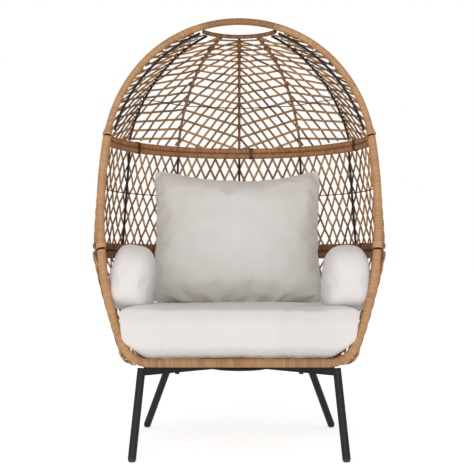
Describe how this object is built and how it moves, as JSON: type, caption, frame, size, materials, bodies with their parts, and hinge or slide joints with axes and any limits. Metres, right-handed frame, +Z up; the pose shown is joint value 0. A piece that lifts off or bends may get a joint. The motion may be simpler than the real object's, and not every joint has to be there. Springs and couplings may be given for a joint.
{
  "type": "standing wicker egg chair",
  "caption": "Woven egg-shaped garden chair in three bolted sections on a black four-legged base, with loose seat, back and arm cushions.",
  "frame": {"origin": "on the floor, under the middle of the chair's box", "axes": "+Z up; the open front faces -Y; +X to the right of someone looking at the front"},
  "size_m": [0.9374, 0.7502, 1.3799],
  "materials": {
    "linen": "matt woven polyester",
    "rubber": "matt",
    "fastener": "satin",
    "steel_coated": "matt powder coat",
    "rod_coated": "satin powder coat",
    "core_steel": "satin powder coat",
    "wicker_honey": "wound flat wicker",
    "wicker_brown": "wound flat wicker",
    "wicker_strand": "woven wicker"
  },
  "bodies": {
    "chair": {"hub_ring": "steel_coated", "arm_front_left": "steel_coated", "arm_front_right": "steel_coated", "arm_rear_left": "steel_coated", "arm_rear_right": "steel_coated", "leg_front_left": "steel_coated", "leg_front_right": "steel_coated", "leg_rear_left": "steel_coated", "leg_rear_right": "steel_coated", "foot_caps": "rubber", "base_bolts": "fastener", "base_nuts": "fastener", "floor_hoop": "rod_coated", "floor_bar_front": "rod_coated", "floor_bar_rear": "rod_coated", "floor_weave": "wicker_strand", "lower_rim_tube": "core_steel", "lower_rim_winding": "wicker_honey", "lower_hoop_rod": "core_steel", "lower_hoop_winding": "wicker_brown", "lower_ribs": "rod_coated", "lower_weave": "wicker_strand", "middle_rim_tube_left": "core_steel", "middle_rim_tube_right": "core_steel", "middle_rim_winding_left": "wicker_honey", "middle_rim_winding_right": "wicker_honey", "middle_low_hoop_rod": "core_steel", "middle_low_hoop_winding": "wicker_brown", "middle_high_hoop_rod": "core_steel", "middle_high_hoop_winding": "wicker_brown", "middle_ribs": "rod_coated", "middle_wire": "rod_coated", "middle_weave": "wicker_strand", "dome_rim_tube": "core_steel", "dome_rim_winding": "wicker_honey", "dome_hoop_rod": "core_steel", "dome_hoop_winding": "wicker_brown", "crown_ring_rod": "core_steel", "crown_ring_winding": "wicker_brown", "dome_ribs_bare": "rod_coated", "dome_ribs_wound_rods": "core_steel", "dome_rib_windings": "wicker_brown", "dome_wire": "rod_coated", "dome_weave": "wicker_strand", "seam_pins": "fastener", "upper_bindings": "wicker_honey", "waist_bindings": "wicker_honey", "upper_hoop_clips": "fastener", "waist_hoop_clips": "fastener"},
    "seat": {"seat_cushion": "linen"},
    "back": {"back_pillow": "linen"},
    "left_pillow": {"arm_pillow_left": "linen"},
    "right_pillow": {"arm_pillow_right": "linen"}
  },
  "joints": [
    {"name": "seat_cushion_lift", "type": "slide", "parent": "chair", "child": "seat", "axis": [0, -0.97, 0.243], "range_m": [0, 0.62]},
    {"name": "back_pillow_lift", "type": "slide", "parent": "seat", "child": "back", "axis": [0, -0.9659, 0.259], "range_m": [0, 0.82]},
    {"name": "left_pillow_lift", "type": "slide", "parent": "seat", "child": "left_pillow", "axis": [0, -0.9659, 0.259], "range_m": [0, 0.33]},
    {"name": "right_pillow_lift", "type": "slide", "parent": "seat", "child": "right_pillow", "axis": [0, -0.9659, 0.259], "range_m": [0, 0.33]}
  ]
}
